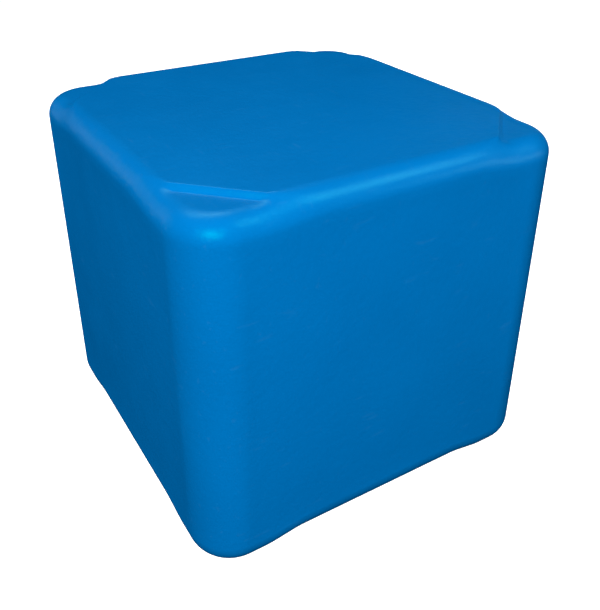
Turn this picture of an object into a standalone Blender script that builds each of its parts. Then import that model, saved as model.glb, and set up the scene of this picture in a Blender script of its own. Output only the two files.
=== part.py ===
"""Stacking cube seat: a hollow, rotationally moulded block that people sit on.

Metres, +Z up. The origin is the centre of the footprint, on the plane the four
rubber feet stand on. The front is the -Y side. The body is one moulding with a
raised pad on top, four corner recesses round the pad, and four corner feet below
that drop into the recesses of the next seat down when seats are stacked. Each foot
holds a moulded-in threaded insert, a rubber pad, a washer and a screw. A threaded
port in the middle of the base, with its screw plug and sealing ring, lets the
hollow body be filled with water or sand as ballast and drained again.
"""
import math

import bmesh
import bpy
from mathutils import Matrix, Vector

GAP = 0.0003  # left between any two pieces that touch

# ---- body ----
TOP_WIDTH = 0.430        # across the flat walls, at the top
BASE_WIDTH = 0.450       # across the flat walls, at the foot
BODY_HEIGHT = 0.416      # underside of the feet to the top of the pad
WALL = 0.005
CORNER_RADIUS = 0.050    # upright corners
TOP_FILLET = 0.023
BASE_FILLET = 0.032
STEP = 0.006             # height of the raised pad, and of the feet
PAD_CHAMFER = 0.1025     # leg of the corner cut off the raised pad, at its ridge
PAD_BLEND_CENTRE = 0.101  # the same leg where the step runs out into the rim
PAD_BLEND_WIDTH = 0.062
FOOT_CHAMFER = 0.099     # leg of each foot's triangle
FOOT_BLEND_WIDTH = 0.053
STEP_RUN = 0.008         # how far the steep flank of a step spreads, measured as x + y
RIM_SPREAD = 0.6         # share of the fillet's width over which a flank slackens to the slow blend
FLAT_ANGLE = math.radians(0.05)  # faces that differ by less are joined into one

# ---- feet ----
PAD_PROUD = 0.0015       # how far the rubber stands below the moulded foot
FOOT_CENTRE = 0.187      # of each rubber pad, along X and along Y
FOOT_PAD_RADIUS = 0.011
POCKET_DEPTH = 0.006
INSERT_RADIUS = 0.0045
INSERT_LENGTH = 0.012
BOSS_RADIUS = 0.010
BOSS_TOP = 0.025
SCREW_RADIUS = 0.0025    # M5
SCREW_HEAD_RADIUS = 0.0046
SCREW_TIP = 0.0165
HEAD_LOW = 0.0008
HEAD_HIGH = 0.0032
WASHER_RADIUS = 0.0052
WASHER_THICKNESS = 0.001
HEAD_RECESS_RADIUS = 0.0058

# ---- ballast port ----
BORE_RADIUS = 0.015      # crest of the bush's thread
PORT_TOP = 0.026
BUSH_NECK_RADIUS = 0.0195
BUSH_BODY_RADIUS = 0.026
BUSH_SHOULDER = 0.0155   # height where the bush widens
BUSH_FLANGE_RADIUS = 0.031
BUSH_LOW = 0.0052        # underside of the bush's flange
COUNTERBORE_RADIUS = 0.021
COUNTERBORE_TOP = 0.0113
PLUG_FLANGE_RADIUS = 0.020
PLUG_LOW = 0.0058
PLUG_FLANGE_TOP = 0.0083
PLUG_TOP = 0.024
PLUG_RECESS_RADIUS = 0.011
PLUG_RECESS_TOP = 0.018
GRIP_WIDTH = 0.004
SEAL_RADIUS = 0.0166     # of the ring's centre line
SEAL_THICKNESS = 0.0024

FOOT_LOW = PAD_PROUD                   # underside of the moulded feet
TOTAL_HEIGHT = PAD_PROUD + BODY_HEIGHT
BASE_LOW = FOOT_LOW + STEP             # underside of the base between the feet
POCKET_TOP = FOOT_LOW + POCKET_DEPTH
DRAFT = (BASE_WIDTH - TOP_WIDTH) / 2 / BODY_HEIGHT  # lean of a wall, as a tangent
ROOT_TWO = math.sqrt(2.0)
QUADRANTS = [(-1, -1, "front_left"), (1, -1, "front_right"), (-1, 1, "rear_left"), (1, 1, "rear_right")]


# ---- scene and materials ----
def clear_scene():
    for item in list(bpy.data.objects):
        bpy.data.objects.remove(item, do_unlink=True)


def make_collection(name):
    collection = bpy.data.collections.new(name)
    bpy.context.scene.collection.children.link(collection)
    return collection


def make_material(name, color, roughness, metallic=0.0):
    material = bpy.data.materials.new(name)
    material.use_nodes = True
    shader = material.node_tree.nodes["Principled BSDF"]
    shader.inputs["Base Color"].default_value = (*color, 1.0)
    shader.inputs["Roughness"].default_value = roughness
    shader.inputs["Metallic"].default_value = metallic
    material.diffuse_color = (*color, 1.0)
    return material


def finish_mesh(name, bm, collection, material=None, smooth_angle=35.0):
    bmesh.ops.recalc_face_normals(bm, faces=bm.faces)
    mesh = bpy.data.meshes.new(name)
    bm.to_mesh(mesh)
    bm.free()
    mesh.shade_smooth()
    mesh.set_sharp_from_angle(angle=math.radians(smooth_angle))
    item = bpy.data.objects.new(name, mesh)
    collection.objects.link(item)
    if material:
        mesh.materials.append(material)
    return item


def make_cutter(item):
    item.hide_render = True
    item.display_type = "WIRE"
    return item


def boolean(item, cutter, operation):
    modifier = item.modifiers.new(cutter.name, "BOOLEAN")
    modifier.object = cutter
    modifier.operation = operation
    modifier.solver = "EXACT"


def turned(name, profile, location, collection, material=None, steps=24):
    """Turn a profile of (radius, height) points about Z. It runs down its outer side."""
    on_axis = profile[0][0] == 0.0
    mesh = bpy.data.meshes.new(name)
    count = len(profile)
    edges = [(i, i + 1) for i in range(count - 1)]
    if not on_axis:
        edges.append((count - 1, 0))
    mesh.from_pydata([(radius, 0.0, height) for radius, height in profile], edges, [])
    item = bpy.data.objects.new(name, mesh)
    collection.objects.link(item)
    item.location = location
    screw = item.modifiers.new("turn", "SCREW")
    screw.axis = "Z"
    screw.angle = math.tau
    screw.steps = steps
    screw.render_steps = steps
    screw.use_merge_vertices = True
    screw.merge_threshold = 0.00005
    screw.use_smooth_shade = True
    if material:
        mesh.materials.append(material)
    return item


# ---- body ----
def smooth_step(value):
    value = min(max(value, 0.0), 1.0)
    return value * value * (3.0 - 2.0 * value)


def step_share(co, line, blend_line, blend_width, width, fillet):
    """0 inside a 45-degree corner line and 1 outside it, steep on the flat and slow at the rim."""
    inset = width / 2 - max(abs(co.x), abs(co.y))
    rim = smooth_step((1.0 - inset / fillet) / RIM_SPREAD)
    centre = line + (blend_line - line) * rim
    run = STEP_RUN + (blend_width - STEP_RUN) * rim
    return smooth_step((abs(co.x) + abs(co.y) - centre) / run + 0.5)


def cut_corner_lines(bm, lines, upper):
    """Score the upper or lower faces along vertical 45-degree planes at each corner."""
    for side_x, side_y, _ in QUADRANTS:
        for line in lines:
            faces = [f for f in bm.faces if all((v.co.z > BODY_HEIGHT / 2) == upper for v in f.verts)]
            edges = {e for f in faces for e in f.edges}
            verts = {v for f in faces for v in f.verts}
            normal = Vector((side_x, side_y, 0.0)).normalized()
            bmesh.ops.bisect_plane(bm, geom=[*verts, *edges, *faces], dist=1e-6,
                                   plane_co=normal * line / ROOT_TWO, plane_no=normal)


def corner_lines(line, blend_line, blend_width, slow_cuts):
    """Where the corner lines are scored: along the steep flank, and along the slow blend."""
    steep = [line - STEP_RUN / 2, line, line + STEP_RUN / 2]
    start = blend_line - blend_width / 2
    slow = [start + blend_width * i / slow_cuts for i in range(slow_cuts + 1)]
    return steep + [cut for cut in slow if abs(cut - line) > STEP_RUN]


def moulded_block(inset, corner_segments, fillet_segments, slow_cuts):
    """The tapered, rounded block with its pad and feet; inset shrinks it to the cavity's surface."""
    top_width = TOP_WIDTH - 2 * inset
    base_width = BASE_WIDTH - 2 * inset
    low = FOOT_LOW + inset
    high = TOTAL_HEIGHT - inset
    bm = bmesh.new()
    bmesh.ops.create_cube(bm, size=1.0)
    for v in bm.verts:
        half = (top_width if v.co.z > 0 else base_width) / 2
        v.co = Vector((math.copysign(half, v.co.x), math.copysign(half, v.co.y), high if v.co.z > 0 else low))
    upright = [e for e in bm.edges if abs(e.verts[0].co.z - e.verts[1].co.z) > inset + WALL]
    bmesh.ops.bevel(bm, geom=upright, offset=CORNER_RADIUS - inset, segments=corner_segments,
                    profile=0.5, affect="EDGES", clamp_overlap=False)
    for level, radius in ((high, TOP_FILLET - inset), (low, BASE_FILLET - inset)):
        rim = [e for e in bm.edges if all(abs(v.co.z - level) < 1e-6 for v in e.verts)]
        bmesh.ops.bevel(bm, geom=rim, offset=radius, segments=fillet_segments,
                        profile=0.5, affect="EDGES", clamp_overlap=False)

    shift = inset * ROOT_TWO  # keeps the wall's thickness through each flank
    pad_line = TOP_WIDTH - PAD_CHAMFER - shift
    pad_blend = TOP_WIDTH - PAD_BLEND_CENTRE - shift
    foot_line = BASE_WIDTH - FOOT_CHAMFER + shift
    cut_corner_lines(bm, corner_lines(pad_line, pad_blend, PAD_BLEND_WIDTH, slow_cuts), True)
    cut_corner_lines(bm, corner_lines(foot_line, foot_line, FOOT_BLEND_WIDTH, slow_cuts), False)
    for v in bm.verts:
        if v.co.z > BODY_HEIGHT / 2:
            share = step_share(v.co, pad_line, pad_blend, PAD_BLEND_WIDTH, top_width, TOP_FILLET)
            rise = -STEP * share
        else:
            share = step_share(v.co, foot_line, foot_line, FOOT_BLEND_WIDTH, base_width, BASE_FILLET)
            rise = STEP * (1.0 - share)
        lean = DRAFT * rise
        v.co -= Vector((math.copysign(lean, v.co.x), math.copysign(lean, v.co.y), -rise))
    bmesh.ops.remove_doubles(bm, verts=bm.verts, dist=1e-6)
    bmesh.ops.dissolve_limit(bm, angle_limit=FLAT_ANGLE, verts=bm.verts, edges=bm.edges)
    return bm


def build_shell(parts, cutters, plastic):
    shell = finish_mesh("seat_shell", moulded_block(0.0, 8, 4, 4), parts, plastic)
    cavity = finish_mesh("cavity", moulded_block(WALL, 4, 2, 2), cutters)
    boolean(shell, make_cutter(cavity), "DIFFERENCE")

    boss_low = POCKET_TOP - WALL / 2
    for side_x, side_y, corner in QUADRANTS:
        centre = (side_x * FOOT_CENTRE, side_y * FOOT_CENTRE, 0.0)
        boss_profile = [(0.0, BOSS_TOP), (BOSS_RADIUS, BOSS_TOP), (BOSS_RADIUS, boss_low), (0.0, boss_low)]
        boss = turned(f"boss_{corner}", boss_profile, centre, cutters)
        boolean(shell, make_cutter(boss), "UNION")
    for side_x, side_y, corner in QUADRANTS:
        centre = (side_x * FOOT_CENTRE, side_y * FOOT_CENTRE, 0.0)
        insert_top = POCKET_TOP + INSERT_LENGTH + GAP
        pocket_radius = FOOT_PAD_RADIUS + GAP
        bore_radius = INSERT_RADIUS + GAP
        pocket_profile = [(0.0, insert_top), (bore_radius, insert_top), (bore_radius, POCKET_TOP),
                          (pocket_radius, POCKET_TOP), (pocket_radius, -WALL), (0.0, -WALL)]
        pocket = turned(f"pocket_{corner}", pocket_profile, centre, cutters)
        boolean(shell, make_cutter(pocket), "DIFFERENCE")
    hole_radius = BUSH_BODY_RADIUS + GAP
    hole_profile = [(0.0, PORT_TOP), (hole_radius, PORT_TOP), (hole_radius, 0.0), (0.0, 0.0)]
    hole = turned("port_hole", hole_profile, (0.0, 0.0, 0.0), cutters, steps=32)
    boolean(shell, make_cutter(hole), "DIFFERENCE")


# ---- feet ----
def insert_profile():
    low = POCKET_TOP
    high = POCKET_TOP + INSERT_LENGTH
    groove = INSERT_RADIUS - 0.0008
    band = INSERT_LENGTH / 3
    bore = SCREW_RADIUS + GAP
    blind = high - 0.0015
    return [(0.0, high), (INSERT_RADIUS, high), (INSERT_RADIUS, high - band), (groove, high - band - 0.0005),
            (groove, low + band + 0.0005), (INSERT_RADIUS, low + band), (INSERT_RADIUS, low), (bore, low),
            (bore, blind), (0.0, blind)]


def foot_pad_profile():
    high = POCKET_TOP - GAP
    washer_top = HEAD_HIGH + GAP + WASHER_THICKNESS
    recess_top = washer_top + GAP
    hole = SCREW_RADIUS + GAP
    edge = 0.0008
    return [(FOOT_PAD_RADIUS, high), (FOOT_PAD_RADIUS, edge), (FOOT_PAD_RADIUS - edge, 0.0),
            (HEAD_RECESS_RADIUS, 0.0), (HEAD_RECESS_RADIUS, recess_top), (hole, recess_top), (hole, high)]


def washer_profile():
    low = HEAD_HIGH + GAP
    high = low + WASHER_THICKNESS
    hole = SCREW_RADIUS + GAP
    return [(WASHER_RADIUS, high), (WASHER_RADIUS, low), (hole, low), (hole, high)]


def screw_profile():
    shoulder = HEAD_HIGH - 0.0006
    dome = SCREW_HEAD_RADIUS - 0.0011
    socket = 0.0016
    socket_top = HEAD_LOW + 0.0014
    return [(0.0, SCREW_TIP), (SCREW_RADIUS - 0.0006, SCREW_TIP), (SCREW_RADIUS, SCREW_TIP - 0.0006),
            (SCREW_RADIUS, HEAD_HIGH), (SCREW_HEAD_RADIUS, HEAD_HIGH), (SCREW_HEAD_RADIUS, shoulder),
            (dome, HEAD_LOW), (socket, HEAD_LOW), (socket, socket_top), (0.0, socket_top)]


def build_feet(parts, rubber, brass, steel):
    for side_x, side_y, corner in QUADRANTS:
        centre = (side_x * FOOT_CENTRE, side_y * FOOT_CENTRE, 0.0)
        turned(f"foot_insert_{corner}", insert_profile(), centre, parts, brass, steps=16)
        turned(f"foot_pad_{corner}", foot_pad_profile(), centre, parts, rubber, steps=24)
        turned(f"foot_washer_{corner}", washer_profile(), centre, parts, steel, steps=16)
        turned(f"foot_screw_{corner}", screw_profile(), centre, parts, steel, steps=16)


# ---- ballast port ----
def bush_profile():
    flange_top = BASE_LOW - GAP
    edge = 0.0006
    return [(BUSH_NECK_RADIUS, PORT_TOP), (BUSH_NECK_RADIUS, BUSH_SHOULDER), (BUSH_BODY_RADIUS, BUSH_SHOULDER),
            (BUSH_BODY_RADIUS, flange_top), (BUSH_FLANGE_RADIUS, flange_top),
            (BUSH_FLANGE_RADIUS, BUSH_LOW + edge), (BUSH_FLANGE_RADIUS - edge, BUSH_LOW),
            (COUNTERBORE_RADIUS, BUSH_LOW), (COUNTERBORE_RADIUS, COUNTERBORE_TOP),
            (BORE_RADIUS, COUNTERBORE_TOP), (BORE_RADIUS, PORT_TOP)]


def plug_profile():
    barrel = BORE_RADIUS - GAP
    lead = 0.0015
    edge = 0.0006
    return [(0.0, PLUG_TOP), (barrel - lead, PLUG_TOP), (barrel, PLUG_TOP - lead), (barrel, PLUG_FLANGE_TOP),
            (PLUG_FLANGE_RADIUS, PLUG_FLANGE_TOP), (PLUG_FLANGE_RADIUS, PLUG_LOW + edge),
            (PLUG_FLANGE_RADIUS - edge, PLUG_LOW), (PLUG_RECESS_RADIUS, PLUG_LOW),
            (PLUG_RECESS_RADIUS, PLUG_RECESS_TOP), (0.0, PLUG_RECESS_TOP)]


def build_port(parts, cutters, plug_plastic, rubber):
    turned("port_bush", bush_profile(), (0.0, 0.0, 0.0), parts, plug_plastic, steps=32)

    seal_height = PLUG_FLANGE_TOP + GAP + SEAL_THICKNESS / 2
    bpy.ops.mesh.primitive_torus_add(major_radius=SEAL_RADIUS, minor_radius=SEAL_THICKNESS / 2,
                                     major_segments=32, minor_segments=8, location=(0.0, 0.0, seal_height))
    seal = bpy.context.object
    seal.name = "port_seal_ring"
    for collection in list(seal.users_collection):
        collection.objects.unlink(seal)
    parts.objects.link(seal)
    seal.data.shade_smooth()
    seal.data.materials.append(rubber)

    plug = turned("port_plug", plug_profile(), (0.0, 0.0, 0.0), parts, plug_plastic, steps=32)
    grip_low = PLUG_LOW + 0.001
    grip_high = PLUG_RECESS_TOP + 0.002
    bm = bmesh.new()
    bmesh.ops.create_cube(bm, size=1.0)
    size = Vector((2 * PLUG_RECESS_RADIUS + 0.002, GRIP_WIDTH, grip_high - grip_low))
    bmesh.ops.transform(bm, matrix=Matrix.Diagonal(size.to_4d()), verts=bm.verts)
    bmesh.ops.translate(bm, vec=(0.0, 0.0, (grip_low + grip_high) / 2), verts=bm.verts)
    grip = finish_mesh("plug_grip", bm, cutters)
    boolean(plug, make_cutter(grip), "UNION")


def build():
    clear_scene()
    parts = make_collection("stacking_cube_seat")
    cutters = make_collection("cutters")
    plastic = make_material("moulded_blue", (0.005, 0.150, 0.440), 0.42)
    rubber = make_material("black_rubber", (0.020, 0.020, 0.022), 0.75)
    plug_plastic = make_material("port_plastic", (0.030, 0.032, 0.036), 0.40)
    brass = make_material("insert_brass", (0.600, 0.420, 0.160), 0.35, 1.0)
    steel = make_material("zinc_steel", (0.550, 0.560, 0.580), 0.35, 1.0)
    build_shell(parts, cutters, plastic)
    build_feet(parts, rubber, brass, steel)
    build_port(parts, cutters, plug_plastic, rubber)


build()
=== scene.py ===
import math

import bmesh
import bpy
from mathutils import Matrix, Vector


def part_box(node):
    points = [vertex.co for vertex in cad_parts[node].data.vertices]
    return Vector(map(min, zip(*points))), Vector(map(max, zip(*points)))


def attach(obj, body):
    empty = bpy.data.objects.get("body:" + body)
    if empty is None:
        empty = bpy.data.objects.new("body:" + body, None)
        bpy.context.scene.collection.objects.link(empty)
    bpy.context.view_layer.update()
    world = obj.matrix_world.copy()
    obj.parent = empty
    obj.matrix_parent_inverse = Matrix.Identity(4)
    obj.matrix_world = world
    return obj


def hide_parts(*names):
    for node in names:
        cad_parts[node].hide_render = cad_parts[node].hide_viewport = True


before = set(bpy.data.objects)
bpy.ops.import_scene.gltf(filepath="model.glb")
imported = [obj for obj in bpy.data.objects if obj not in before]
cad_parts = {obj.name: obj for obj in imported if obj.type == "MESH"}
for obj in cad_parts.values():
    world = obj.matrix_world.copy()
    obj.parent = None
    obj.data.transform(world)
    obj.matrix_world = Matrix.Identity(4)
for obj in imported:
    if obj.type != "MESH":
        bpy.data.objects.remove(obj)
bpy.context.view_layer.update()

# ---- body sizes: the same driving values as the CAD, in metres ----
TOP_WIDTH = 0.430
BASE_WIDTH = 0.450
BODY_HEIGHT = 0.416              # from the soles of the moulded feet to the top of the pad
WALL = 0.005
CORNER_RADIUS = 0.050
TOP_FILLET = 0.023
BASE_FILLET = 0.032
STEP = 0.006                     # from the pad down to a recess, and from the base down to a foot
PAD_CHAMFER = 0.1025             # the pad's 45-degree cut, along a side from the sharp corner
PAD_BLEND_CENTRE = 0.101         # the same at the rim, where the step's flank widens
PAD_BLEND_WIDTH = 0.062
FOOT_CHAMFER = 0.099
FOOT_BLEND_WIDTH = 0.053
STEP_RUN = 0.008                 # width of the step's flank on the flat, along a side
RIM_SPREAD = 0.6                 # share of a rim's rounding over which the flank widens
FOOT_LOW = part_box("seat_shell")[0][2]
TOTAL_HEIGHT = FOOT_LOW + BODY_HEIGHT
DRAFT = (BASE_WIDTH - TOP_WIDTH) / 2 / BODY_HEIGHT
ROOT_TWO = math.sqrt(2.0)
SAME_PLACE = 1e-6                # two points closer than this are one

# ---- how the walls of the moulding have sunk as it cooled ----
SINKS = ((0.00045, 0.012), (0.00035, 0.080))   # depth and reach of the narrow and the broad sinking
SINK_CUTS = (0.0, 0.002, 0.0045, 0.0075, 0.011, 0.016, 0.022, 0.030, 0.042, 0.060, 0.085, 0.120, 0.160)

# ---- feet and port: sizes taken from the frame ----
PAD_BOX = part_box("foot_pad_front_left")
PAD_RADIUS = (PAD_BOX[1][0] - PAD_BOX[0][0]) / 2
PAD_TOP = PAD_BOX[1][2]
FOOT_CENTRE = -(PAD_BOX[1][0] + PAD_BOX[0][0]) / 2
INSERT_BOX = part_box("foot_insert_front_left")
INSERT_RADIUS = (INSERT_BOX[1][0] - INSERT_BOX[0][0]) / 2
INSERT_LOW = INSERT_BOX[0][2]
INSERT_TOP = INSERT_BOX[1][2]
WASHER_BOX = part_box("foot_washer_front_left")
WASHER_RADIUS = (WASHER_BOX[1][0] - WASHER_BOX[0][0]) / 2
WASHER_LOW = WASHER_BOX[0][2]
WASHER_TOP = WASHER_BOX[1][2]
SCREW_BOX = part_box("foot_screw_front_left")
HEAD_RADIUS = (SCREW_BOX[1][0] - SCREW_BOX[0][0]) / 2
HEAD_LOW = SCREW_BOX[0][2]
SCREW_TIP = SCREW_BOX[1][2]
BUSH_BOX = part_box("port_bush")
BUSH_RADIUS = BUSH_BOX[1][0]
BUSH_LOW = BUSH_BOX[0][2]
PORT_TOP = BUSH_BOX[1][2]
PLUG_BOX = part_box("port_plug")
PLUG_RADIUS = PLUG_BOX[1][0]
PLUG_LOW = PLUG_BOX[0][2]
PLUG_TOP = PLUG_BOX[1][2]
SEAL_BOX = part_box("port_seal_ring")
POCKET_TOP = INSERT_LOW          # the insert starts where the pocket ends
GAP = POCKET_TOP - PAD_TOP       # left between two pieces that touch

# ---- feet and port: radii and heights that the frame's boxes don't show ----
BOSS_RADIUS = 0.010
BOSS_TOP = 0.025
SCREW_RADIUS = 0.0025
COUNTERBORE = 0.021
COUNTERBORE_TOP = 0.0113
BUSH_BODY = 0.026
BUSH_NECK = 0.0195
BUSH_SHOULDER = 0.0155
PORT_HOLE = BUSH_BODY + GAP
PLUG_BARREL = 0.0147
PLUG_FLANGE_TOP = 0.0083
PLUG_RECESS = 0.011
PLUG_RECESS_TOP = 0.018

# ---- feet and port: threads, tread and grip, and where the feet are ----
SCREW_PITCH = 0.0008
PORT_PITCH = 0.003
THREAD_RISE = 0.18               # share of the pitch over which a thread rises to its ridge
TREAD_DEPTH = 0.0005
GRIP_WIDTH = 0.004
CORNERS = ((-1, -1, "front_left"), (1, -1, "front_right"), (-1, 1, "rear_left"), (1, 1, "rear_right"))
# the lobed recesses come to rest at different angles when the screws are driven home
SCREW_TURNS = {"front_left": 0.35, "front_right": 0.9, "rear_left": 0.1, "rear_right": 0.62}

# ---- colours of the moulding, the range of its roughness, and its wear ----
BLUE_DEEP = (0.0, 0.141, 0.424)
BLUE_LIGHT = (0.0, 0.155, 0.462)
BLUE_WORN = (0.060, 0.230, 0.520)
ROUGH_LOW = 0.30
ROUGH_HIGH = 0.37
RUBBED_TOP = 0.0070              # no rubbing on the feet above this height
RUBBED_FULL = 0.0015             # and the most of it below this one
RUBBED_SHARE = 0.55              # how far a rubbed spot and a scuff go towards the worn colour
SCUFFED_SHARE = 0.06

# ---- stage ----
LIGHT_AIM = (0.0, 0.0, 0.25)
FLOOR_GLOW = 0.90
SOFTBOXES = (   # name, azimuth, elevation, distance, width, height, watts
    ("key", -38, 33, 2.8, 1.25, 1.25, 54),
    ("fill_front", -37, 33, 2.8, 1.25, 1.25, 47),
    ("rim", 41, 48, 2.2, 0.75, 0.8, 14),
    ("low", 48, 14, 2.2, 1.0, 0.4, 3),
    ("top", 180, 66, 2.2, 1.2, 0.45, 10),
    ("fill_rear_left", -150, 11, 2.4, 1.3, 0.9, 34),
    ("fill_rear_right", 120, 10, 2.4, 1.3, 0.9, 30),
)
CAMERA_AZIMUTH = math.radians(-31.653)
CAMERA_ELEVATION = math.radians(33.111)
CAMERA_ROLL = math.radians(0.400)
CAMERA_DISTANCE = 1.99951 * TOP_WIDTH
CAMERA_LENS = 42.97
CAMERA_AIM = Vector((-0.04982 * TOP_WIDTH, -0.16009 * TOP_WIDTH, FOOT_LOW + 0.46137 * TOP_WIDTH))


# ---- meshes, cuts and turned shapes ----
def smooth_step(value):
    value = min(max(value, 0.0), 1.0)
    return value * value * (3.0 - 2.0 * value)


def mesh_object(name, bm, material=None, smooth_angle=40.0):
    mesh = bpy.data.meshes.new(name)
    bm.to_mesh(mesh)
    bm.free()
    mesh.shade_smooth()
    mesh.set_sharp_from_angle(angle=math.radians(smooth_angle))
    item = bpy.data.objects.new(name, mesh)
    bpy.context.scene.collection.objects.link(item)
    if material:
        mesh.materials.append(material)
    return item


def boolean(item, cutter, operation):
    modifier = item.modifiers.new(cutter.name, "BOOLEAN")
    modifier.object = cutter
    modifier.operation = operation
    modifier.solver = "EXACT"


def apply_and_drop(item, cutters, smooth_angle):
    """Keep the evaluated mesh, and remove the modifiers and the shapes that they used."""
    graph = bpy.context.evaluated_depsgraph_get()
    mesh = bpy.data.meshes.new_from_object(item.evaluated_get(graph))
    item.modifiers.clear()
    bm = bmesh.new()
    bm.from_mesh(mesh)
    bmesh.ops.remove_doubles(bm, verts=bm.verts, dist=2 * SAME_PLACE)
    bmesh.ops.dissolve_degenerate(bm, edges=bm.edges, dist=2 * SAME_PLACE)
    bm.to_mesh(mesh)
    bm.free()
    item.data = mesh
    mesh.shade_smooth()
    mesh.set_sharp_from_angle(angle=math.radians(smooth_angle))
    for cutter in cutters:
        bpy.data.objects.remove(cutter, do_unlink=True)


def four_copies(bm):
    """Put a shape at each of the four feet, in one mesh."""
    mesh = bpy.data.meshes.new("one_foot")
    bm.to_mesh(mesh)
    bm.free()
    joined = bmesh.new()
    for side_x, side_y, _ in CORNERS:
        start = len(joined.verts)
        joined.from_mesh(mesh)
        joined.verts.ensure_lookup_table()
        for v in joined.verts[start:]:
            v.co += Vector((side_x * FOOT_CENTRE, side_y * FOOT_CENTRE, 0.0))
    bpy.data.meshes.remove(mesh)
    return joined


def softened(points, steps=3):
    """Round a profile's corners; a point is its radius, its height and how far its rounding reaches."""
    rows = []
    for i, (radius, height, reach) in enumerate(points):
        here = Vector((radius, height))
        if reach == 0.0:
            rows.append((radius, height))
            continue
        before = Vector(points[i - 1][:2])
        after = Vector(points[(i + 1) % len(points)][:2])
        start = here + (before - here).normalized() * reach
        end = here + (after - here).normalized() * reach
        for step in range(steps + 1):
            t = step / steps
            rows.append(tuple(start * (1 - t) ** 2 + here * 2 * t * (1 - t) + end * t * t))
    return rows


def lathe(rows, segments, closed=False, shape=None):
    """Turn a profile of (radius, height) rows about Z, outer side downwards; shape may move each point."""
    bm = bmesh.new()
    rings = []
    for radius, height in rows:
        if radius == 0.0:
            rings.append([bm.verts.new((0.0, 0.0, height))] * segments)
            continue
        ring = []
        for i in range(segments):
            angle = math.tau * i / segments
            r, z = shape(radius, height, angle) if shape else (radius, height)
            ring.append(bm.verts.new((r * math.cos(angle), r * math.sin(angle), z)))
        rings.append(ring)
    pairs = list(zip(rings, rings[1:]))
    if closed:
        pairs.append((rings[-1], rings[0]))
    for upper, lower in pairs:
        for i in range(segments):
            j = (i + 1) % segments
            around = list(dict.fromkeys((upper[i], lower[i], lower[j], upper[j])))
            if len(around) > 2:
                bm.faces.new(around)
    bmesh.ops.recalc_face_normals(bm, faces=bm.faces)
    return bm


def thread_wave(height, angle, pitch, width):
    """1 on a right-hand thread's ridge and 0 between its turns; width is the ridge's share of the pitch."""
    phase = (height / pitch - angle / math.tau) % 1.0
    return min(max((width / 2 - abs(phase - 0.5)) / THREAD_RISE + 0.5, 0.0), 1.0)


def thread_fade(height, low, high, run):
    return smooth_step((height - low) / run) * smooth_step((high - height) / run)


def rows_between(radius, high, low, pitch, per_turn):
    """Evenly spaced rows down a straight run, close enough together to carry a thread."""
    count = max(2, round((high - low) / pitch * per_turn))
    return [(radius, high + (low - high) * i / count) for i in range(count + 1)]


def notch(angle, count, share):
    """1 in each of the evenly spaced notches round a rim, with soft sides."""
    phase = abs((angle / math.tau * count) % 1.0 - 0.5) * 2.0
    return smooth_step((phase - (1.0 - share)) / (share * 0.45))


# ---- the moulded body ----
def step_share(co, line, blend_line, blend_width, width, fillet):
    """0 inside a 45-degree corner line and 1 outside it, steep on the flat and slow at the rim."""
    inset = width / 2 - max(abs(co.x), abs(co.y))
    rim = smooth_step((1.0 - inset / fillet) / RIM_SPREAD)
    centre = line + (blend_line - line) * rim
    run = STEP_RUN + (blend_width - STEP_RUN) * rim
    return smooth_step((abs(co.x) + abs(co.y) - centre) / run + 0.5)


def score(bm, point, normal, part):
    """Cut the faces of one part of the block, its top, base or walls, along a plane."""
    def inside(face):
        upper = {v.co.z > BODY_HEIGHT / 2 for v in face.verts}
        return upper == {"top": {True}, "base": {False}, "walls": {True, False}}[part]
    faces = [f for f in bm.faces if inside(f)]
    edges = {e for f in faces for e in f.edges}
    verts = {v for f in faces for v in f.verts}
    bmesh.ops.bisect_plane(bm, geom=[*verts, *edges, *faces], dist=SAME_PLACE,
                           plane_co=point, plane_no=normal)


def corner_lines(line, blend_line, blend_width, slow_cuts, steep_cuts):
    steep = [line + STEP_RUN * (i / steep_cuts - 0.5) for i in range(steep_cuts + 1)]
    start = blend_line - blend_width / 2
    slow = [start + blend_width * i / slow_cuts for i in range(slow_cuts + 1)]
    return steep + [cut for cut in slow if abs(cut - line) > 0.6 * STEP_RUN]


def half_width(z):
    return TOP_WIDTH / 2 + DRAFT * (TOTAL_HEIGHT - z)


def sink_depth(edge_gaps):
    """How far a wall has drawn in at a point, from its distances to the wall's four edges."""
    total = 0.0
    for depth, reach in SINKS:
        share = 1.0
        for gap in edge_gaps:
            share *= 1.0 - math.exp(-max(gap, 0.0) / reach)
        total += depth * share
    return total


def sink_walls(bm):
    """Draw a quarter block's flat walls in a little, most of it just inside their edges."""
    low = FOOT_LOW + BASE_FILLET
    high = TOTAL_HEIGHT - TOP_FILLET - STEP
    gaps = sorted({*SINK_CUTS, *(high - low - cut for cut in SINK_CUTS)})
    middle = (low + high) / 2
    flat = TOP_WIDTH / 2 - CORNER_RADIUS
    for normal in (Vector((1.0, 0.0, 0.0)), Vector((0.0, 1.0, 0.0))):
        for cut in SINK_CUTS:
            score(bm, normal * (flat - cut), normal, "walls")
    lines = [low + gap for gap in gaps]
    for z in sorted(lines, key=lambda line: abs(line - middle)):
        cut_walls_across(bm, z)
    for v in bm.verts:
        x, y, z = v.co
        flat_here = half_width(z) - CORNER_RADIUS
        vertical = (z - low, high - z)
        if y > x and y > flat_here + CORNER_RADIUS * 0.9:
            v.co.y -= sink_depth((flat_here - x, *vertical))
        elif x > y and x > flat_here + CORNER_RADIUS * 0.9:
            v.co.x -= sink_depth((flat_here - y, *vertical))


def cut_walls_across(bm, z):
    faces = [f for f in bm.faces if abs(f.normal.z) < 0.1]
    edges = {e for f in faces for e in f.edges}
    verts = {v for f in faces for v in f.verts}
    bmesh.ops.bisect_plane(bm, geom=[*verts, *edges, *faces], dist=SAME_PLACE,
                           plane_co=(0.0, 0.0, z), plane_no=(0.0, 0.0, 1.0))


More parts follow.
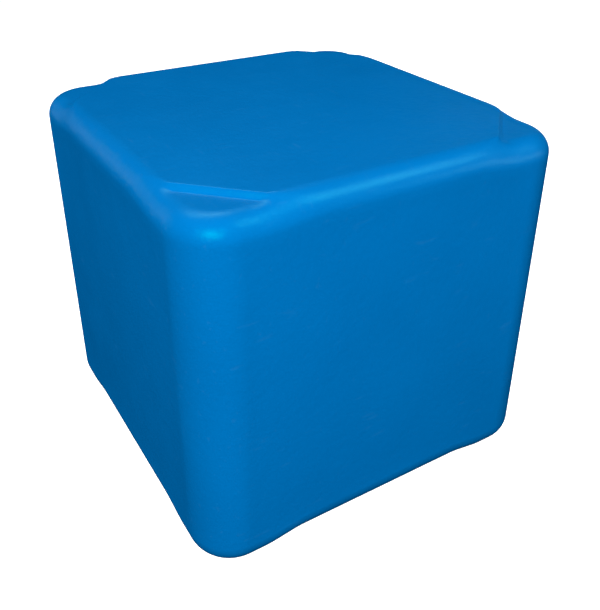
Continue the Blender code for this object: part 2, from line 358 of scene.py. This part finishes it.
def moulded_block(inset, corner_segments, fillet_segments, slow_cuts, steep_cuts, sunk=False):
    """One quarter of the block, with its share of the pad and a foot, mirrored to all four corners."""
    top_width = TOP_WIDTH - 2 * inset
    base_width = BASE_WIDTH - 2 * inset
    low = FOOT_LOW + inset
    high = TOTAL_HEIGHT - inset
    bm = bmesh.new()
    bmesh.ops.create_cube(bm, size=1.0)
    for v in bm.verts:
        half = (top_width if v.co.z > 0 else base_width) / 2
        z = high if v.co.z > 0 else low
        v.co = Vector((math.copysign(half, v.co.x), math.copysign(half, v.co.y), z))
    upright = [e for e in bm.edges if abs(e.verts[0].co.z - e.verts[1].co.z) > inset + WALL]
    bmesh.ops.bevel(bm, geom=upright, offset=CORNER_RADIUS - inset, segments=corner_segments,
                    profile=0.5, affect="EDGES", clamp_overlap=False)
    for level, radius in ((high, TOP_FILLET - inset), (low, BASE_FILLET - inset)):
        rim = [e for e in bm.edges if all(abs(v.co.z - level) < SAME_PLACE for v in e.verts)]
        bmesh.ops.bevel(bm, geom=rim, offset=radius, segments=fillet_segments,
                        profile=0.5, affect="EDGES", clamp_overlap=False)
    for normal in (Vector((-1.0, 0.0, 0.0)), Vector((0.0, -1.0, 0.0))):
        bmesh.ops.bisect_plane(bm, geom=[*bm.verts, *bm.edges, *bm.faces], dist=SAME_PLACE,
                               plane_co=(0.0, 0.0, 0.0), plane_no=normal, clear_outer=True)

    shift = inset * ROOT_TWO
    pad_line = TOP_WIDTH - PAD_CHAMFER - shift
    pad_blend = TOP_WIDTH - PAD_BLEND_CENTRE - shift
    foot_line = BASE_WIDTH - FOOT_CHAMFER + shift
    diagonal = Vector((1.0, 1.0, 0.0)).normalized()
    pad_cuts = corner_lines(pad_line, pad_blend, PAD_BLEND_WIDTH, slow_cuts, steep_cuts)
    foot_cuts = corner_lines(foot_line, foot_line, FOOT_BLEND_WIDTH, slow_cuts, steep_cuts)
    for part, lines in (("top", pad_cuts), ("base", foot_cuts)):
        for line in lines:
            score(bm, diagonal * line / ROOT_TWO, diagonal, part)
    if sunk:
        sink_walls(bm)
    for v in bm.verts:
        if v.co.z > BODY_HEIGHT / 2:
            share = step_share(v.co, pad_line, pad_blend, PAD_BLEND_WIDTH, top_width, TOP_FILLET)
            depth = smooth_step((v.co.z - BODY_HEIGHT / 2) / (high - TOP_FILLET - BODY_HEIGHT / 2))
            rise = -STEP * share * depth
        else:
            share = step_share(v.co, foot_line, foot_line, FOOT_BLEND_WIDTH, base_width, BASE_FILLET)
            depth = smooth_step((BODY_HEIGHT / 2 - v.co.z) / (BODY_HEIGHT / 2 - low - BASE_FILLET))
            rise = STEP * (1.0 - share) * depth
        lean = DRAFT * rise
        v.co.x = max(v.co.x - lean, 0.0) if v.co.x > SAME_PLACE else 0.0
        v.co.y = max(v.co.y - lean, 0.0) if v.co.y > SAME_PLACE else 0.0
        v.co.z += rise
    for axis in "XY":
        bmesh.ops.mirror(bm, geom=[*bm.verts, *bm.edges, *bm.faces], matrix=Matrix.Identity(4),
                         merge_dist=1e-5, axis=axis)
    bmesh.ops.remove_doubles(bm, verts=bm.verts, dist=SAME_PLACE)
    bmesh.ops.recalc_face_normals(bm, faces=bm.faces)
    return bm


def build_moulding(material):
    outside = moulded_block(0.0, corner_segments=24, fillet_segments=14, slow_cuts=20, steep_cuts=8,
                            sunk=True)
    inside = moulded_block(WALL, corner_segments=12, fillet_segments=6, slow_cuts=8, steep_cuts=4)
    item = mesh_object("seat_moulding", outside, material)
    cavity = mesh_object("cavity", inside)
    boss_low = POCKET_TOP - WALL / 2
    boss = softened([(0.0, BOSS_TOP, 0.0), (BOSS_RADIUS, BOSS_TOP, 0.0015),
                     (BOSS_RADIUS, boss_low, 0.0), (0.0, boss_low, 0.0)])
    bosses = mesh_object("bosses", four_copies(lathe(boss, 48)))
    bore = INSERT_RADIUS + GAP
    wide = PAD_RADIUS + GAP
    flare = 0.0008
    mouth = FOOT_LOW + flare
    pocket = softened([(0.0, INSERT_TOP + GAP, 0.0), (bore, INSERT_TOP + GAP, 0.0),
                       (bore, POCKET_TOP, 0.0004), (wide, POCKET_TOP, 0.0004),
                       (wide, mouth, 0.0004), (wide + flare, FOOT_LOW, 0.0),
                       (wide + flare, -WALL, 0.0), (0.0, -WALL, 0.0)])
    pockets = mesh_object("pockets", four_copies(lathe(pocket, 64)))
    hole = [(0.0, PORT_TOP), (PORT_HOLE, PORT_TOP), (PORT_HOLE, 0.0), (0.0, 0.0)]
    port_hole = mesh_object("port_hole", lathe(hole, 96))
    boolean(item, cavity, "DIFFERENCE")
    boolean(item, bosses, "UNION")
    boolean(item, pockets, "DIFFERENCE")
    boolean(item, port_hole, "DIFFERENCE")
    apply_and_drop(item, (cavity, bosses, pockets, port_hole), 38.0)
    weighted = item.modifiers.new("weighted", "WEIGHTED_NORMAL")
    weighted.keep_sharp = True
    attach(item, "seat")
    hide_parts("seat_shell")


# ---- feet ----
def pad_mesh():
    """A rubber pad: a rounded edge, rings and radial grooves in its tread, a recess and a hole."""
    high = PAD_TOP
    recess = WASHER_RADIUS + 0.0006
    recess_top = WASHER_TOP + GAP
    hole = SCREW_RADIUS + GAP
    rim = PAD_RADIUS - 0.0009
    rings = 14
    step = (rim - recess - 0.0006) / rings
    tread = []
    for i in range(1, rings + 1):
        grooved = i % 4 in (2, 3) and i < rings - 1
        tread.append((rim - step * i, TREAD_DEPTH if grooved else 0.0, 0.0))
    rows = softened([(hole, high, 0.0002), (PAD_RADIUS, high, 0.0004), (PAD_RADIUS, 0.0, 0.0009),
                     *tread, (recess, 0.0, 0.0003), (recess, recess_top, 0.0003),
                     (hole, recess_top, 0.0002)], steps=4)

    def shape(radius, height, angle):
        if height < 0.0004 and recess + 0.0005 < radius < rim + 0.0002:
            height = max(height, TREAD_DEPTH * notch(angle, 16, 0.22))
        return radius, height
    return lathe(rows, 128, closed=True, shape=shape)


def washer_mesh():
    hole = SCREW_RADIUS + GAP
    return lathe(softened([(WASHER_RADIUS, WASHER_TOP, 0.00022), (WASHER_RADIUS, WASHER_LOW, 0.00012),
                           (hole, WASHER_LOW, 0.0001), (hole, WASHER_TOP, 0.0002)]), 64, closed=True)


def screw_mesh():
    """A pan-head screw with a six-lobe recess and a fine thread."""
    tip = SCREW_TIP
    under = WASHER_LOW - GAP
    socket = 0.00145
    socket_top = HEAD_LOW + 0.0014
    side = under - 0.0006
    rows = [(0.0, tip), (SCREW_RADIUS - 0.0008, tip)]
    rows += rows_between(SCREW_RADIUS, tip - 0.0005, under + 0.0004, SCREW_PITCH, 6)
    rows += softened([(SCREW_RADIUS, under + 0.0003, 0.0), (SCREW_RADIUS, under, 0.0002),
                      (HEAD_RADIUS, under, 0.00015), (HEAD_RADIUS, side, 0.0002)])[1:]
    for i in range(1, 9):
        turn = math.radians(90.0 * i / 8)
        rows.append((HEAD_RADIUS - 0.0014 * math.sin(turn) ** 1.6 - 0.00002 * i,
                     HEAD_LOW + (side - HEAD_LOW) * math.cos(turn)))
    rows += [(socket + 0.0008, HEAD_LOW), (socket + 0.00018, HEAD_LOW), (socket, HEAD_LOW + 0.00018),
             (socket, HEAD_LOW + 0.0008), (socket, socket_top), (socket * 0.5, socket_top + 0.0001),
             (0.0, socket_top + 0.0003)]

    def shape(radius, height, angle):
        if height < socket_top + 0.00005 and radius < socket + 0.0003:
            return radius + 0.00024 * math.cos(6 * angle), height
        if height > under + 0.0003 and radius > SCREW_RADIUS - 0.0002:
            fade = thread_fade(height, under + 0.0008, tip + 0.0004, 0.0006)
            return radius - 0.0004 * (1.0 - thread_wave(height, angle, SCREW_PITCH, 0.5)) * fade, height
        return radius, height
    return lathe(rows, 48, shape=shape)


def insert_mesh():
    """A brass insert with two knurled bands, a groove between them and a threaded blind hole."""
    low, high = INSERT_LOW, INSERT_TOP
    band = (high - low) / 3
    groove = INSERT_RADIUS - 0.0008
    bore = SCREW_RADIUS + GAP * 0.7
    blind = high - 0.0015
    rows = softened([(0.0, high, 0.0), (INSERT_RADIUS, high, 0.0003), (INSERT_RADIUS, high - band, 0.0001),
                     (groove, high - band - 0.0005, 0.0001), (groove, low + band + 0.0005, 0.0001),
                     (INSERT_RADIUS, low + band, 0.0001), (INSERT_RADIUS, low, 0.0003),
                     (bore + 0.0005, low, 0.0), (bore, low + 0.0005, 0.0)])
    rows += rows_between(bore, blind, low + 0.0006, SCREW_PITCH, 5)[::-1]
    rows += [(0.0, blind)]

    def shape(radius, height, angle):
        if radius > INSERT_RADIUS - 0.0002:
            return radius - 0.00018 * (0.5 - 0.5 * math.cos(30 * angle)), height
        if radius < bore + 0.0001:
            fade = thread_fade(height, low + 0.0006, blind, 0.0008)
            return radius + 0.00035 * thread_wave(height, angle, SCREW_PITCH, 0.6) * fade, height
        return radius, height
    return lathe(rows, 120, shape=shape)


def build_feet(rubber, brass, steel):
    pieces = (("pad", pad_mesh(), rubber, "black_rubber", 50.0),
              ("insert", insert_mesh(), brass, "insert_brass", 50.0),
              ("washer", washer_mesh(), steel, "zinc_steel", 40.0),
              ("screw", screw_mesh(), steel, "zinc_steel", 40.0))
    for kind, bm, material, slot, angle in pieces:
        first = mesh_object(f"{kind}_detail", bm, material, angle)
        for side_x, side_y, corner in CORNERS:
            item = bpy.data.objects.new(f"foot_{kind}_{corner}_detail", first.data)
            bpy.context.scene.collection.objects.link(item)
            item.location = (side_x * FOOT_CENTRE, side_y * FOOT_CENTRE, 0.0)
            item.rotation_euler.z = SCREW_TURNS[corner] if kind == "screw" else 0.0
            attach(item, "seat")
            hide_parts(f"foot_{kind}_{corner}")
        bpy.data.objects.remove(first, do_unlink=True)


# ---- port ----
def bush_mesh():
    """The port's threaded bush: a flange with spanner notches, a counterbore and a coarse inside thread."""
    flange_top = FOOT_LOW + STEP - GAP
    crest = PLUG_BARREL + 0.0002
    rows = softened([(BUSH_NECK, PORT_TOP, 0.0006), (BUSH_NECK, BUSH_SHOULDER, 0.0008),
                     (BUSH_BODY, BUSH_SHOULDER, 0.0006), (BUSH_BODY, flange_top, 0.0003),
                     (BUSH_RADIUS, flange_top, 0.0004), (BUSH_RADIUS, BUSH_LOW, 0.0006),
                     (BUSH_RADIUS - 0.0028, BUSH_LOW, 0.0003),
                     (BUSH_RADIUS - 0.0034, BUSH_LOW + 0.0003, 0.0003),
                     (COUNTERBORE + 0.0024, BUSH_LOW + 0.0003, 0.0003),
                     (COUNTERBORE + 0.0018, BUSH_LOW, 0.0003),
                     (COUNTERBORE, BUSH_LOW, 0.0004), (COUNTERBORE, COUNTERBORE_TOP, 0.0003),
                     (crest + 0.0008, COUNTERBORE_TOP, 0.0003), (crest, COUNTERBORE_TOP + 0.0006, 0.0)])
    rows += rows_between(crest, PORT_TOP - 0.0006, COUNTERBORE_TOP + 0.0009, PORT_PITCH, 12)[::-1]
    rows += [(crest + 0.0006, PORT_TOP)]

    def shape(radius, height, angle):
        if radius < crest + 0.0001:
            fade = thread_fade(height, COUNTERBORE_TOP + 0.0004, PORT_TOP + 0.0012, 0.0012)
            return radius + 0.0011 * thread_wave(height, angle, PORT_PITCH, 0.62) * fade, height
        if radius > BUSH_RADIUS - 0.0012 and height < flange_top + 0.0001:
            return radius - 0.0010 * notch(angle, 4, 0.14), height
        return radius, height
    return lathe(rows, 144, closed=True, shape=shape)


def plug_mesh():
    """The screw plug: a scalloped flange, a plain land for the seal, a coarse thread and a recess."""
    land = 0.0125
    rows = [(0.0, PLUG_TOP), (PLUG_BARREL - 0.0018, PLUG_TOP), (PLUG_BARREL - 0.0010, PLUG_TOP - 0.0004)]
    rows += rows_between(PLUG_BARREL - 0.0002, PLUG_TOP - 0.0012, land, PORT_PITCH, 12)
    rows += softened([(PLUG_BARREL, land - 0.0006, 0.0), (PLUG_BARREL, PLUG_FLANGE_TOP, 0.0003),
                      (PLUG_RADIUS, PLUG_FLANGE_TOP, 0.0004), (PLUG_RADIUS, PLUG_LOW, 0.0007),
                      (PLUG_RADIUS - 0.0030, PLUG_LOW, 0.0003),
                      (PLUG_RADIUS - 0.0036, PLUG_LOW + 0.0003, 0.0002),
                      (PLUG_RECESS + 0.0022, PLUG_LOW + 0.0003, 0.0002),
                      (PLUG_RECESS + 0.0016, PLUG_LOW, 0.0003),
                      (PLUG_RECESS, PLUG_LOW, 0.0006), (PLUG_RECESS - 0.0002, PLUG_RECESS_TOP, 0.0012),
                      (0.0, PLUG_RECESS_TOP, 0.0)])

    def shape(radius, height, angle):
        if height > land - 0.0001 and radius > PLUG_BARREL - 0.0003:
            fade = thread_fade(height, land - 0.0004, PLUG_TOP - 0.0006, 0.0014)
            return radius + 0.0012 * thread_wave(height, angle, PORT_PITCH, 0.44) * fade, height
        if radius > PLUG_RADIUS - 0.0012 and height < PLUG_FLANGE_TOP + 0.0001:
            return radius - 0.0007 * notch(angle, 18, 0.5), height
        return radius, height
    return lathe(rows, 144, shape=shape)


def grip_bar():
    """The bar that crosses the plug's recess, for turning it by hand or with a coin."""
    bm = bmesh.new()
    bmesh.ops.create_cube(bm, size=1.0)
    low, high = PLUG_LOW + 0.001, PLUG_RECESS_TOP + 0.0015
    for v in bm.verts:
        reach = PLUG_RECESS + 0.0008
        half = GRIP_WIDTH / 2 if v.co.z > 0 else GRIP_WIDTH / 2 - 0.0004
        z = high if v.co.z > 0 else low
        v.co = Vector((math.copysign(reach, v.co.x), math.copysign(half, v.co.y), z))
    lower = [e for e in bm.edges if all(abs(v.co.z - low) < SAME_PLACE for v in e.verts)
             and abs(e.verts[0].co.y - e.verts[1].co.y) < SAME_PLACE]
    bmesh.ops.bevel(bm, geom=lower, offset=0.0008, segments=4, profile=0.5, affect="EDGES")
    bmesh.ops.recalc_face_normals(bm, faces=bm.faces)
    return bm


def seal_mesh():
    """The sealing ring, with the fine flash line that its mould leaves round it."""
    middle = (SEAL_BOX[0][2] + SEAL_BOX[1][2]) / 2
    half = (SEAL_BOX[1][2] - SEAL_BOX[0][2]) / 2
    centre = SEAL_BOX[1][0] - half
    rows = []
    for i in range(24):
        turn = math.tau * i / 24
        flash = 0.97 if i % 12 else 1.0
        rows.append((centre + half * flash * math.cos(turn), middle - half * math.sin(turn)))
    return lathe(rows, 96, closed=True)


def build_port(plastic, rubber):
    bush = mesh_object("port_bush_detail", bush_mesh(), plastic, 42.0)
    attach(bush, "seat")
    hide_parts("port_bush")
    seal = mesh_object("port_seal_ring_detail", seal_mesh(), rubber, 60.0)
    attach(seal, "seal")
    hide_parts("port_seal_ring")
    plug = mesh_object("port_plug_detail", plug_mesh(), plastic, 42.0)
    bar = mesh_object("grip_bar", grip_bar())
    boolean(plug, bar, "UNION")
    apply_and_drop(plug, (bar,), 42.0)
    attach(plug, "plug")
    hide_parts("port_plug")


# ---- materials ----
def start_material(name, roughness, metallic=0.0):
    material = bpy.data.materials.new(name)
    material.use_nodes = True
    tree = material.node_tree
    shader = tree.nodes["Principled BSDF"]
    shader.inputs["Roughness"].default_value = roughness
    shader.inputs["Metallic"].default_value = metallic
    place = tree.nodes.new("ShaderNodeTexCoord").outputs["Object"]
    return material, tree, shader, place


def noise(tree, place, scale, detail, stretch=None):
    """Smooth noise; a scale of 1000 gives spots of about a millimetre."""
    if stretch:
        mapping = tree.nodes.new("ShaderNodeMapping")
        mapping.inputs["Scale"].default_value = stretch
        tree.links.new(place, mapping.inputs["Vector"])
        place = mapping.outputs["Vector"]
    node = tree.nodes.new("ShaderNodeTexNoise")
    node.inputs["Scale"].default_value = scale
    node.inputs["Detail"].default_value = detail
    tree.links.new(place, node.inputs["Vector"])
    return node.outputs["Fac"]


def remap(tree, value, low, high, to_low, to_high):
    node = tree.nodes.new("ShaderNodeMapRange")
    node.inputs["From Min"].default_value = low
    node.inputs["From Max"].default_value = high
    node.inputs["To Min"].default_value = to_low
    node.inputs["To Max"].default_value = to_high
    tree.links.new(value, node.inputs["Value"])
    return node.outputs["Result"]


def combine(tree, operation, first, second):
    node = tree.nodes.new("ShaderNodeMath")
    node.operation = operation
    for socket, value in zip(node.inputs, (first, second)):
        if isinstance(value, float):
            socket.default_value = value
        else:
            tree.links.new(value, socket)
    return node.outputs["Value"]


def blend_color(tree, share, first, second):
    node = tree.nodes.new("ShaderNodeMix")
    node.data_type = "RGBA"
    tree.links.new(share, node.inputs["Factor"])
    for name, value in (("A", first), ("B", second)):
        socket = next(s for s in node.inputs if s.name == name and s.type == "RGBA")
        if isinstance(value, tuple):
            socket.default_value = (*value, 1.0)
        else:
            tree.links.new(value, socket)
    return next(s for s in node.outputs if s.type == "RGBA")


def bump(tree, heights):
    """Chain several heights, each with its distance in metres, into one normal."""
    normal = None
    for height, distance in heights:
        node = tree.nodes.new("ShaderNodeBump")
        node.inputs["Distance"].default_value = distance
        tree.links.new(height, node.inputs["Height"])
        if normal:
            tree.links.new(normal, node.inputs["Normal"])
        normal = node.outputs["Normal"]
    return normal


def blue_plastic():
    """Moulded plastic: faint mottling, orange peel and fine grain, light scuffs, and rubbed feet."""
    material, tree, shader, place = start_material("moulded_blue", 0.33)
    shader.inputs["Specular IOR Level"].default_value = 0.36
    shader.inputs["Specular Tint"].default_value = (0.0, 1.0, 0.9, 1.0)
    cloud = noise(tree, place, 9.0, 3.0)
    fleck = noise(tree, place, 420.0, 2.0)
    tone = combine(tree, "ADD", remap(tree, cloud, 0.3, 0.7, 0.0, 0.6),
                   remap(tree, fleck, 0.3, 0.7, 0.0, 0.4))
    color = blend_color(tree, tone, BLUE_DEEP, BLUE_LIGHT)
    height = tree.nodes.new("ShaderNodeSeparateXYZ")
    tree.links.new(place, height.inputs["Vector"])
    low = remap(tree, height.outputs["Z"], RUBBED_TOP, RUBBED_FULL, 0.0, 1.0)
    rubbed = remap(tree, noise(tree, place, 260.0, 5.0), 0.48, 0.66, 0.0, 1.0)
    foot_wear = combine(tree, "MULTIPLY", combine(tree, "MULTIPLY", low, rubbed), RUBBED_SHARE)
    streaks = remap(tree, noise(tree, place, 30.0, 3.0, (1.0, 9.0, 4.0)), 0.64, 0.74, 0.0, 1.0)
    crossed = remap(tree, noise(tree, place, 26.0, 3.0, (8.0, 1.2, 5.0)), 0.65, 0.75, 0.0, 1.0)
    scuffs = combine(tree, "MAXIMUM", streaks, crossed)
    worn = combine(tree, "MAXIMUM", foot_wear, combine(tree, "MULTIPLY", scuffs, SCUFFED_SHARE))
    tree.links.new(blend_color(tree, worn, color, BLUE_WORN), shader.inputs["Base Color"])
    sheen = remap(tree, noise(tree, place, 22.0, 4.0), 0.3, 0.7, ROUGH_LOW, ROUGH_HIGH)
    rough = combine(tree, "ADD", sheen, combine(tree, "MULTIPLY", scuffs, 0.05))
    tree.links.new(combine(tree, "ADD", rough, combine(tree, "MULTIPLY", foot_wear, 0.25)),
                   shader.inputs["Roughness"])
    peel = noise(tree, place, 120.0, 1.0)
    grain = noise(tree, place, 600.0, 2.0)
    normal = bump(tree, ((peel, 0.00022), (grain, 0.00011), (scuffs, -0.000008)))
    tree.links.new(normal, shader.inputs["Normal"])
    return material


def black_rubber():
    material, tree, shader, place = start_material("black_rubber", 0.8)
    shader.inputs["Specular IOR Level"].default_value = 0.4
    dust = remap(tree, noise(tree, place, 300.0, 4.0), 0.42, 0.72, 0.0, 0.5)
    tree.links.new(blend_color(tree, dust, (0.016, 0.016, 0.017), (0.075, 0.072, 0.068)),
                   shader.inputs["Base Color"])
    tree.links.new(remap(tree, noise(tree, place, 700.0, 3.0), 0.3, 0.7, 0.68, 0.88),
                   shader.inputs["Roughness"])
    tree.links.new(bump(tree, ((noise(tree, place, 2600.0, 3.0), 0.00005),)), shader.inputs["Normal"])
    return material


def port_plastic():
    material, tree, shader, place = start_material("port_plastic", 0.42)
    tone = remap(tree, noise(tree, place, 90.0, 4.0), 0.3, 0.7, 0.0, 1.0)
    tree.links.new(blend_color(tree, tone, (0.024, 0.026, 0.029), (0.038, 0.040, 0.044)),
                   shader.inputs["Base Color"])
    tree.links.new(remap(tree, noise(tree, place, 160.0, 5.0), 0.35, 0.7, 0.34, 0.52),
                   shader.inputs["Roughness"])
    tree.links.new(bump(tree, ((noise(tree, place, 1500.0, 3.0), 0.00003),)), shader.inputs["Normal"])
    return material


def turned_metal(name, dull, bright, rough_low, rough_high):
    material, tree, shader, place = start_material(name, rough_low, 1.0)
    tone = remap(tree, noise(tree, place, 900.0, 4.0), 0.35, 0.65, 0.0, 1.0)
    tree.links.new(blend_color(tree, tone, dull, bright), shader.inputs["Base Color"])
    tree.links.new(remap(tree, noise(tree, place, 500.0, 5.0), 0.35, 0.65, rough_low, rough_high),
                   shader.inputs["Roughness"])
    tree.links.new(bump(tree, ((noise(tree, place, 1800.0, 2.0, (1.0, 1.0, 6.0)), 0.00002),)),
                   shader.inputs["Normal"])
    return material


# ---- stage ----
def add_floor():
    bpy.ops.mesh.primitive_plane_add(size=12.0, location=(0.0, 0.0, 0.0))
    floor = bpy.context.object
    floor.name = "floor"
    material = bpy.data.materials.new("floor")
    material.use_nodes = True
    shader = material.node_tree.nodes["Principled BSDF"]
    shader.inputs["Base Color"].default_value = (0.86, 0.86, 0.86, 1.0)
    shader.inputs["Roughness"].default_value = 0.9
    shader.inputs["Emission Color"].default_value = (1.0, 1.0, 1.0, 1.0)
    shader.inputs["Emission Strength"].default_value = FLOOR_GLOW
    floor.data.materials.append(material)
    floor.visible_glossy = False
    floor.visible_diffuse = False


def add_softbox(name, position, aim, width, height, watts):
    light = bpy.data.lights.new(name, "AREA")
    light.shape = "RECTANGLE"
    light.size = width
    light.size_y = height
    light.energy = watts
    item = bpy.data.objects.new(name, light)
    bpy.context.scene.collection.objects.link(item)
    item.location = position
    item.visible_glossy = not name.startswith("fill")   # a fill lights the faces and leaves no glare
    item.rotation_euler = (Vector(aim) - Vector(position)).to_track_quat("-Z", "Y").to_euler()


def from_direction(azimuth, elevation, distance):
    """A place seen from where the lights aim; azimuth 0 is in front and 90 on the right."""
    turn = math.radians(azimuth)
    lift = math.radians(elevation)
    flat = math.cos(lift) * distance
    return (math.sin(turn) * flat, -math.cos(turn) * flat, math.sin(lift) * distance + LIGHT_AIM[2])


def add_lights():
    for name, azimuth, elevation, distance, width, height, watts in SOFTBOXES:
        add_softbox(name, from_direction(azimuth, elevation, distance), LIGHT_AIM, width, height, watts)
    world = bpy.data.worlds.new("world")
    bpy.context.scene.world = world
    world.use_nodes = True
    background = world.node_tree.nodes["Background"]
    background.inputs["Color"].default_value = (1.0, 1.0, 1.0, 1.0)
    background.inputs["Strength"].default_value = 1.0
    world.cycles_visibility.diffuse = False    # a white surround that adds no light of its own
    world.cycles_visibility.glossy = False


# ---- camera ----
def add_camera():
    flat = math.cos(CAMERA_ELEVATION)
    back = Vector((math.sin(CAMERA_AZIMUTH) * flat, -math.cos(CAMERA_AZIMUTH) * flat,
                   math.sin(CAMERA_ELEVATION)))
    data = bpy.data.cameras.new("camera")
    data.lens = CAMERA_LENS
    data.sensor_width = 36.0
    data.clip_start = 0.01
    camera = bpy.data.objects.new("camera", data)
    bpy.context.scene.collection.objects.link(camera)
    camera.location = CAMERA_AIM + back * CAMERA_DISTANCE
    level = back.to_track_quat("Z", "Y")
    camera.rotation_euler = (level @ Matrix.Rotation(CAMERA_ROLL, 3, "Z").to_quaternion()).to_euler()
    bpy.context.scene.camera = camera


add_camera()
add_floor()
add_lights()
RUBBER = black_rubber()
build_moulding(blue_plastic())
BRASS = turned_metal("insert_brass", (0.52, 0.36, 0.13), (0.66, 0.47, 0.19), 0.28, 0.45)
STEEL = turned_metal("zinc_steel", (0.48, 0.49, 0.51), (0.60, 0.61, 0.63), 0.26, 0.44)
build_feet(RUBBER, BRASS, STEEL)
build_port(port_plastic(), RUBBER)
bpy.context.scene.view_settings.view_transform = "Standard"
